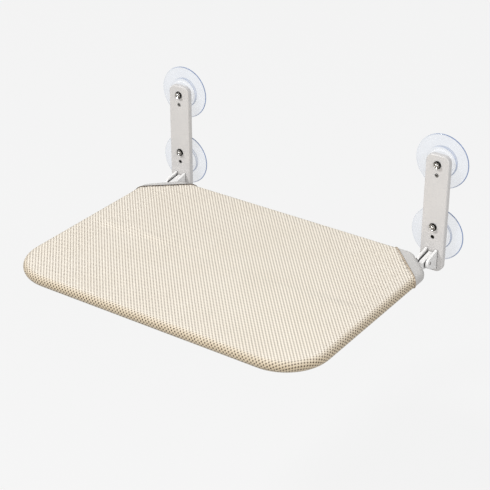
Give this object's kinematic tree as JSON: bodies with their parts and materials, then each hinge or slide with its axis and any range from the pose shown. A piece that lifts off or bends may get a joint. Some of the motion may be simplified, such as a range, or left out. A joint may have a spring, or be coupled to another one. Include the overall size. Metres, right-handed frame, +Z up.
{
  "type": "folding window perch",
  "caption": "Fabric deck on a tube frame that folds up on hinges against a window, held to the glass by clear suction cups on slim bracket bars.",
  "frame": {"origin": "on the window pane, midway between the cups", "axes": "+X along the window, +Y into the glass, +Z up"},
  "size_m": [0.587, 0.4409, 0.2295],
  "materials": {
    "bar": "satin warm grey",
    "hinge_white": "satin off-white",
    "fitting_grey": "satin grey",
    "cup_clear": "clear with a faint blue tint",
    "zinc_steel": "zinc plated",
    "black_steel": "black",
    "nylon": "plain",
    "tube_paint": "powder coat",
    "mesh_fabric": "open woven mesh, cream and beige",
    "closure_tape": "hook and loop tape"
  },
  "bodies": {
    "left_bracket": {"left_bracket_bar": "bar", "left_hinge_fork": "hinge_white", "left_hinge_pin": "zinc_steel", "left_hinge_spacer_inner": "nylon", "left_hinge_spacer_outer": "nylon", "left_upper_suction_cup": "cup_clear", "left_upper_cup_stud": "zinc_steel", "left_upper_washer": "black_steel", "left_upper_nut": "zinc_steel", "left_upper_locating_screw": "black_steel", "left_lower_suction_cup": "cup_clear", "left_lower_cup_stud": "zinc_steel", "left_lower_washer": "black_steel", "left_lower_nut": "zinc_steel", "left_lower_locating_screw": "black_steel"},
    "deck": {"left_hinge_tongue": "hinge_white", "left_corner_fitting": "fitting_grey", "left_tongue_screw": "black_steel", "right_hinge_tongue": "hinge_white", "right_corner_fitting": "fitting_grey", "right_tongue_screw": "black_steel", "frame_tube": "tube_paint", "rear_tube": "tube_paint", "fabric_cover": "mesh_fabric", "closure_strip": "closure_tape"},
    "right_bracket": {"right_bracket_bar": "bar", "right_hinge_fork": "hinge_white", "right_hinge_pin": "zinc_steel", "right_hinge_spacer_inner": "nylon", "right_hinge_spacer_outer": "nylon", "right_upper_suction_cup": "cup_clear", "right_upper_cup_stud": "zinc_steel", "right_upper_washer": "black_steel", "right_upper_nut": "zinc_steel", "right_upper_locating_screw": "black_steel", "right_lower_suction_cup": "cup_clear", "right_lower_cup_stud": "zinc_steel", "right_lower_washer": "black_steel", "right_lower_nut": "zinc_steel", "right_lower_locating_screw": "black_steel"}
  },
  "joints": [
    {"name": "deck_fold", "type": "hinge", "parent": "left_bracket", "child": "deck", "pos_m": [-0.248, -0.0405, -0.0965], "axis": [-1, 0, 0], "range_deg": [0, 90]},
    {"name": "right_bracket_hinge", "type": "hinge", "parent": "deck", "child": "right_bracket", "pos_m": [0.248, -0.0405, -0.0965], "axis": [-1, 0, 0], "range_deg": [-90, 0]}
  ],
  "couplings": [
    {"joint": "right_bracket_hinge", "follows": "deck_fold", "ratio": -1}
  ]
}
